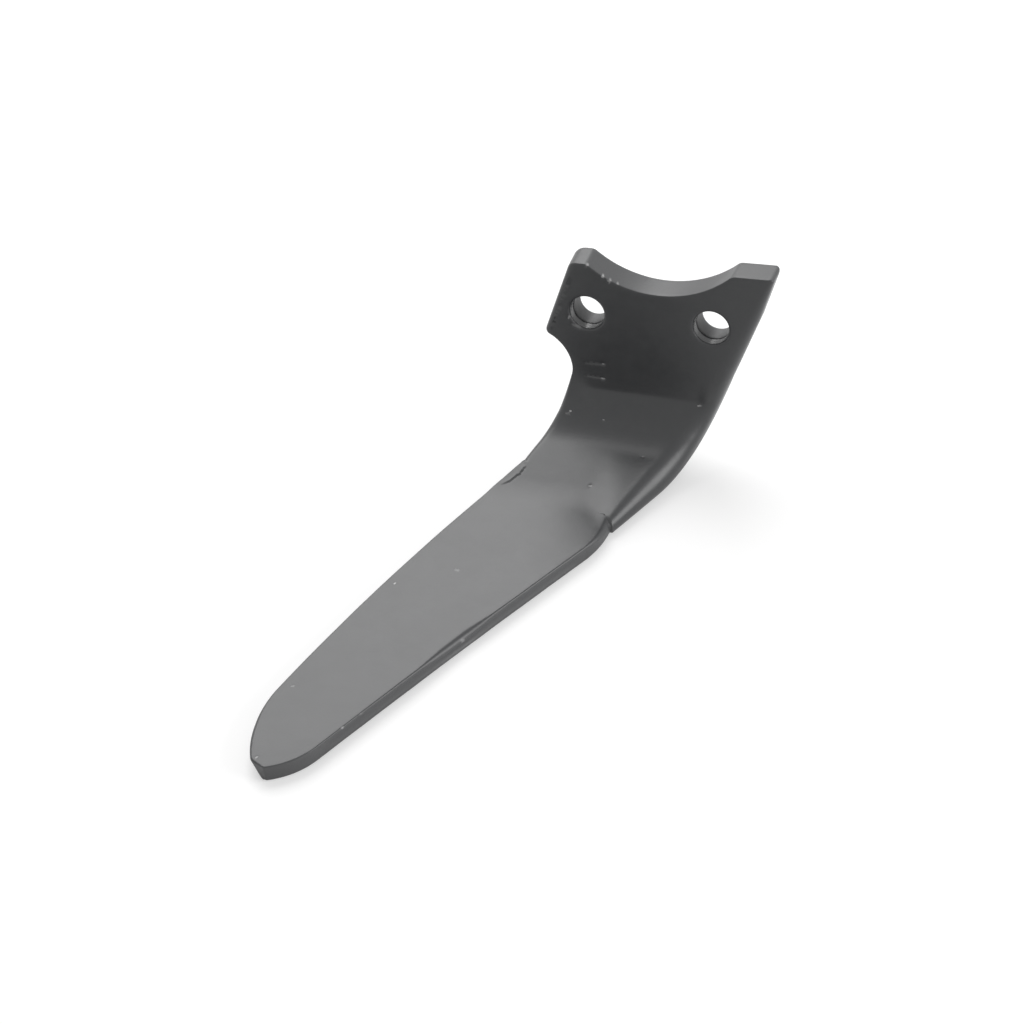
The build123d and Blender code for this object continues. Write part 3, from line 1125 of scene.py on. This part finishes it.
class TINE_OT_stage(bpy.types.Operator):
    """Set the pale floor, the lights and the camera"""
    bl_idname = "tine.stage"
    bl_label = "Set the stage"

    def execute(self, context):
        studio = context.scene.tine_studio
        self.lay_floor(context, studio)
        self.light_room(context, studio)
        self.hang_panel(context, "left_panel", (-0.55, 0.85, 1.15), (0.0, 0.0, 0.0), 1.2,
                        studio.top_light)
        self.hang_panel(context, "right_panel", (1.3, 0.1, 0.35), (0.0, 0.0, 0.03), 0.9,
                        studio.back_light)
        self.place_camera(context, studio)
        return {"FINISHED"}

    def lay_floor(self, context, studio):
        size = 8.0
        mesh = bpy.data.meshes.new("studio_floor")
        mesh.from_pydata([(-size, -size, 0), (size, -size, 0), (size, size, 0), (-size, size, 0)],
                         [], [(0, 1, 2, 3)])
        mesh.materials.append(floor_paper(studio))
        floor = bpy.data.objects.new("studio_floor", mesh)
        floor.location.z = -0.0002
        context.scene.collection.objects.link(floor)

    def light_room(self, context, studio):
        world = bpy.data.worlds.new("studio_room")
        world.use_nodes = True
        tree = world.node_tree
        tree.nodes.clear()
        shown = seen_or_reflected(tree)
        strength = studio.room + shown * (1.0 - studio.room)
        room = output(tree, "ShaderNodeBackground", "Background", None,
                      {"Color": (1.0, 1.0, 1.0, 1.0), "Strength": strength})
        add_node(tree, "ShaderNodeOutputWorld", None, {"Surface": room})
        context.scene.world = world

    def hang_panel(self, context, name, place, target, size, power):
        lamp = bpy.data.lights.new(name, "AREA")
        lamp.shape = "SQUARE"
        lamp.size = size
        lamp.energy = power
        panel = bpy.data.objects.new(name, lamp)
        aim = Vector(target) - Vector(place)
        panel.rotation_euler = aim.to_track_quat("-Z", "Y").to_euler()
        panel.location = place
        context.scene.collection.objects.link(panel)

    def place_camera(self, context, studio):
        lens = bpy.data.cameras.new("studio_camera")
        lens.lens = studio.lens
        lens.sensor_width = 36.0
        lens.clip_start = 0.05
        lens.clip_end = 50.0
        camera = bpy.data.objects.new("studio_camera", lens)
        turn = (Matrix.Rotation(studio.azimuth, 4, "Z")
                @ Matrix.Rotation(pi / 2 - studio.elevation, 4, "X")
                @ Matrix.Rotation(studio.roll, 4, "Z"))
        camera.matrix_world = Matrix.Translation(studio.place) @ turn
        context.scene.collection.objects.link(camera)
        context.scene.camera = camera


class TINE_PT_panel(bpy.types.Panel):
    """Sidebar panel with the tine's sizes, paint and studio"""
    bl_idname = "TINE_PT_panel"
    bl_label = "Harrow tine"
    bl_space_type = "VIEW_3D"
    bl_region_type = "UI"
    bl_category = "Tine"

    def draw(self, context):
        for operator in (TINE_OT_forge, TINE_OT_stage):
            self.layout.operator(operator.bl_idname)
        for group in ("tine_bar", "tine_plate", "tine_blade", "tine_paint", "tine_studio"):
            settings = getattr(context.scene, group)
            box = self.layout.box()
            for name in settings.bl_rna.properties.keys():
                if name not in ("rna_type", "name"):
                    box.prop(settings, name)


CLASSES = (TineBar, TinePlate, TineBlade, TinePaint, TineStudio, TINE_OT_forge, TINE_OT_stage,
           TINE_PT_panel)
GROUPS = {"tine_bar": TineBar, "tine_plate": TinePlate, "tine_blade": TineBlade,
          "tine_paint": TinePaint, "tine_studio": TineStudio}


def register():
    for each in CLASSES:
        bpy.utils.register_class(each)
    for name, group in GROUPS.items():
        setattr(bpy.types.Scene, name, PointerProperty(type=group))


def unregister():
    for name in GROUPS:
        delattr(bpy.types.Scene, name)
    for each in reversed(CLASSES):
        bpy.utils.unregister_class(each)


def main():
    register()
    bpy.context.scene.view_settings.view_transform = "Standard"
    bpy.ops.tine.forge()
    bpy.ops.tine.stage()


if __name__ == "__main__":
    main()
